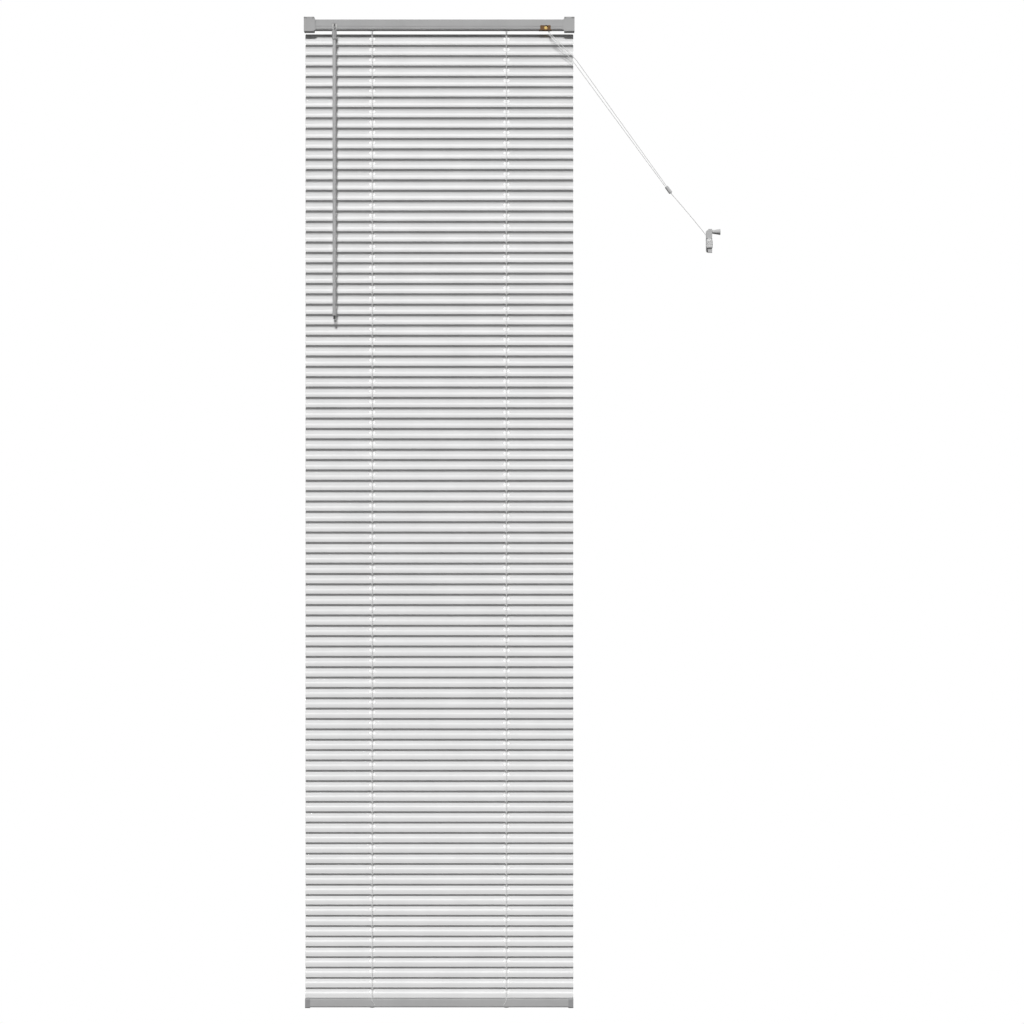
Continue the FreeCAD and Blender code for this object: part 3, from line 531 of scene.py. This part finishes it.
def slat_paint():
    """Pale silver stove enamel on rolled aluminium: soft gloss and faint lengthwise rolling."""
    base = (0.80, 0.80, 0.80)
    made, tree, shader, place = start_material("slat_paint", base, 0.17, 0.4)
    rolled = noise(tree, stretched(tree, place, (2.0, 900.0, 900.0)), 1.0, 2.0)
    cloud = noise(tree, place, 14.0)
    tree.links.new(ramp(tree, cloud, shade(base, 0.97), shade(base, 1.03)), shader.inputs["Base Color"])
    tree.links.new(spread(tree, rolled, 0.13, 0.21), shader.inputs["Roughness"])
    bump(tree, shader, rolled, 0.00001, 0.35)
    return made


def rail_paint():
    """Silver-grey stove enamel on steel, with a fine orange peel."""
    base = (0.48, 0.48, 0.48)
    made, tree, shader, place = start_material("rail_paint", base, 0.38, 0.25)
    peel = noise(tree, place, 1400.0, 2.0)
    cloud = noise(tree, place, 18.0)
    tree.links.new(ramp(tree, cloud, shade(base, 0.95), shade(base, 1.05)), shader.inputs["Base Color"])
    tree.links.new(spread(tree, cloud, 0.30, 0.42), shader.inputs["Roughness"])
    bump(tree, shader, peel, 0.00003, 0.4)
    return made


def moulded(name, base, roughness=0.42):
    """Injection-moulded plastic with a fine spark-eroded grain."""
    made, tree, shader, place = start_material(name, base, roughness)
    grain = noise(tree, place, 2600.0, 2.0)
    cloud = noise(tree, place, 60.0)
    tree.links.new(ramp(tree, cloud, shade(base, 0.94), shade(base, 1.04)), shader.inputs["Base Color"])
    tree.links.new(spread(tree, grain, roughness - 0.06, roughness + 0.08), shader.inputs["Roughness"])
    bump(tree, shader, grain, 0.00004, 0.5)
    return made


def braided_cord():
    """Fine braid: strands crossing both ways, with a slight fuzz; painted shade darkens the grooves between
    strands and a painted highlight lightens their crowns.
    """
    base = (0.94, 0.94, 0.935)
    made, tree, shader, place = start_material("cord_braid", base, 0.75)
    shader.inputs["Sheen Weight"].default_value = 0.3
    fibres = noise(tree, place, 3500.0, 2.0)
    waves = []
    for lean in (1.0, -1.0):
        wave = tree.nodes.new("ShaderNodeTexWave")
        wave.inputs["Scale"].default_value = 1.0
        tree.links.new(stretched(tree, place, (260.0 * lean, 260.0 * lean, 300.0)),
                       wave.inputs["Vector"])
        wave.bands_direction = "DIAGONAL"
        waves.append(wave.outputs["Fac"])
    crossed = tree.nodes.new("ShaderNodeMath")
    crossed.operation = "MAXIMUM"
    tree.links.new(waves[0], crossed.inputs[0])
    tree.links.new(waves[1], crossed.inputs[1])
    mixed = tree.nodes.new("ShaderNodeMath")
    mixed.operation = "MULTIPLY_ADD"
    tree.links.new(fibres, mixed.inputs[0])
    mixed.inputs[1].default_value = 0.4
    tree.links.new(crossed.outputs[0], mixed.inputs[2])
    # painted shade and highlight: the colour is darker where the crossed strands are low, in the grooves, and
    # lighter on their raised crowns
    tree.links.new(ramp(tree, crossed.outputs[0], shade(base, 0.82), shade(base, 1.04), 0.2, 0.9),
                   shader.inputs["Base Color"])
    bump(tree, shader, mixed.outputs[0], 0.00015, 0.6)
    return made


def metal(name, base, roughness, scratch=(40.0, 1500.0, 1500.0)):
    """Bare or plated metal with fine drawn scratches and dulled patches."""
    made, tree, shader, place = start_material(name, base, roughness, 1.0)
    drawn = noise(tree, stretched(tree, place, scratch), 1.0, 2.0)
    cloud = noise(tree, place, 220.0)
    tree.links.new(ramp(tree, cloud, shade(base, 0.78), shade(base, 1.06)), shader.inputs["Base Color"])
    tree.links.new(spread(tree, drawn, roughness * 0.7, roughness * 1.4), shader.inputs["Roughness"])
    bump(tree, shader, drawn, 0.00002, 0.4)
    return made


def wand_plastic():
    """Clear plastic with a grey tint and flow lines along the rod."""
    base = (0.66, 0.66, 0.66)
    made, tree, shader, place = start_material("wand_plastic", base, 0.22)
    shader.inputs["Transmission Weight"].default_value = 0.35
    shader.inputs["IOR"].default_value = 1.5
    flow = noise(tree, stretched(tree, place, (500.0, 500.0, 6.0)), 1.0, 2.0)
    tree.links.new(ramp(tree, flow, shade(base, 0.9), shade(base, 1.06)), shader.inputs["Base Color"])
    tree.links.new(spread(tree, flow, 0.16, 0.3), shader.inputs["Roughness"])
    bump(tree, shader, flow, 0.00002, 0.3)
    return made


finish = {
    "slat_paint": slat_paint(),
    "rail_paint": rail_paint(),
    "grey_plastic": moulded("grey_plastic", (0.36, 0.36, 0.365)),
    "white_plastic": moulded("white_plastic", (0.74, 0.74, 0.72)),
    "light_plastic": moulded("light_plastic", (0.60, 0.60, 0.60), 0.38),
    "dark_plastic": moulded("dark_plastic", (0.07, 0.07, 0.07)),
    "wand_plastic": wand_plastic(),
    "steel": metal("plated_steel", (0.60, 0.60, 0.61), 0.28),
    "bronze": metal("bronze_plate", (0.20, 0.115, 0.06), 0.36),
    "brass": metal("bare_brass", (0.80, 0.56, 0.20), 0.25),
    "cord": braided_cord(),
}


def paint(piece, name):
    piece.data.materials.clear()
    piece.data.materials.append(finish[name])


for row in frame["record"]["subparts"]:
    paint(nodes[row["node"]], row["material_slot"])
for piece in slats:
    paint(piece, "slat_paint")
for piece in rungs + strings + cords:
    paint(piece, "cord")
paint(wand, "wand_plastic")
tassel_cone = bpy.data.objects["cord_tassel_cone"]
paint(tassel_cone, "light_plastic")


# ---- floor and light ----------------------------------------------------------------------------
def make_floor():
    z = CAD_BOX[0].z - 0.30
    corners = [Vector((x, y, z)) for x, y in ((-2.5, -3.0), (3.0, -3.0), (3.0, 1.4), (-2.5, 1.4))]
    floor = add_object("floor", corners, [[0, 1, 2, 3]])
    made, tree, shader, place = start_material("floor_paint", (0.86, 0.86, 0.86), 0.6)
    cloud = noise(tree, place, 1.5)
    tree.links.new(ramp(tree, cloud, (0.84, 0.84, 0.84), (0.88, 0.88, 0.88)),
                   shader.inputs["Base Color"])
    floor.data.materials.append(made)
    floor.visible_diffuse = False
    floor.visible_glossy = False


def make_sun(name, elevation, azimuth, spread_deg, strength):
    """A soft sun, its height and its turn to the left of the front given in degrees."""
    data = bpy.data.lights.new(name, "SUN")
    data.energy = strength
    data.angle = math.radians(spread_deg)
    light = bpy.data.objects.new(name, data)
    bpy.context.scene.collection.objects.link(light)
    up, left = math.radians(elevation), math.radians(azimuth)
    towards = Vector((-math.sin(left) * math.cos(up), -math.cos(left) * math.cos(up), math.sin(up)))
    light.rotation_euler = towards.to_track_quat("Z", "Y").to_euler()
    light.visible_glossy = False


REFLECTED = [(-90, 0.03), (-32, 0.05), (-20, 0.60), (-14, 1.15), (-7, 1.15), (-2, 0.85), (4, 0.85),
             (10, 1.00), (18, 1.05), (21, 1.90), (26, 1.90), (29, 0.90), (34, 0.90), (38, 1.05),
             (44, 1.05), (50, 0.60), (56, 0.12), (65, 0.03), (90, 0.03)]
AMBIENT = [(-90, 0.03), (-30, 0.06), (0, 0.22), (30, 0.24), (55, 0.08), (90, 0.04)]


def by_height(tree, height, table):
    """A background whose light depends on the height above the horizon, in degrees."""
    bands = tree.nodes.new("ShaderNodeValToRGB")
    stops = bands.color_ramp.elements
    while len(stops) < len(table):
        stops.new(0.5)
    for stop, (degrees, light) in zip(stops, table):
        stop.position = (math.sin(math.radians(degrees)) + 1) / 2
        stop.color = (light, light, light, 1.0)
    tree.links.new(height, bands.inputs["Fac"])
    background = tree.nodes.new("ShaderNodeBackground")
    tree.links.new(bands.outputs["Color"], background.inputs["Color"])
    return background


def make_world():
    """White to the camera. Gloss sees a graded studio that is dim behind the blind, and matt surfaces
    a softer one that is brighter there, so that the key light's shadows stay dark."""
    world = bpy.data.worlds.new("studio")
    bpy.context.scene.world = world
    world.use_nodes = True
    tree = world.node_tree
    tree.nodes.clear()
    path = tree.nodes.new("ShaderNodeLightPath")
    split = tree.nodes.new("ShaderNodeSeparateXYZ")
    coordinates = tree.nodes.new("ShaderNodeTexCoord")
    tree.links.new(coordinates.outputs["Generated"], split.inputs["Vector"])
    height = tree.nodes.new("ShaderNodeMapRange")
    height.inputs["From Min"].default_value = -1.0
    tree.links.new(split.outputs["Z"], height.inputs["Value"])
    lit = []
    for table, share_behind in ((AMBIENT, 2.6), (REFLECTED, 0.2)):
        background = by_height(tree, height.outputs["Result"], table)
        behind = tree.nodes.new("ShaderNodeMapRange")
        behind.inputs["From Min"].default_value = -0.2
        behind.inputs["From Max"].default_value = 0.4
        behind.inputs["To Min"].default_value = 1.0
        behind.inputs["To Max"].default_value = share_behind
        tree.links.new(split.outputs["Y"], behind.inputs["Value"])
        tree.links.new(behind.outputs["Result"], background.inputs["Strength"])
        lit.append(background)
    seen = tree.nodes.new("ShaderNodeBackground")
    seen.inputs["Color"].default_value = (1, 1, 1, 1)
    shader = lit[0].outputs["Background"]
    for ray, background in (("Is Glossy Ray", lit[1]), ("Is Camera Ray", seen)):
        mix = tree.nodes.new("ShaderNodeMixShader")
        tree.links.new(path.outputs[ray], mix.inputs["Fac"])
        tree.links.new(shader, mix.inputs[1])
        tree.links.new(background.outputs["Background"], mix.inputs[2])
        shader = mix.outputs["Shader"]
    output = tree.nodes.new("ShaderNodeOutputWorld")
    tree.links.new(shader, output.inputs["Surface"])


make_floor()
make_world()
make_sun("key", 48.0, 9.0, 5.0, 2.75)
bpy.context.scene.view_settings.view_transform = "Standard"
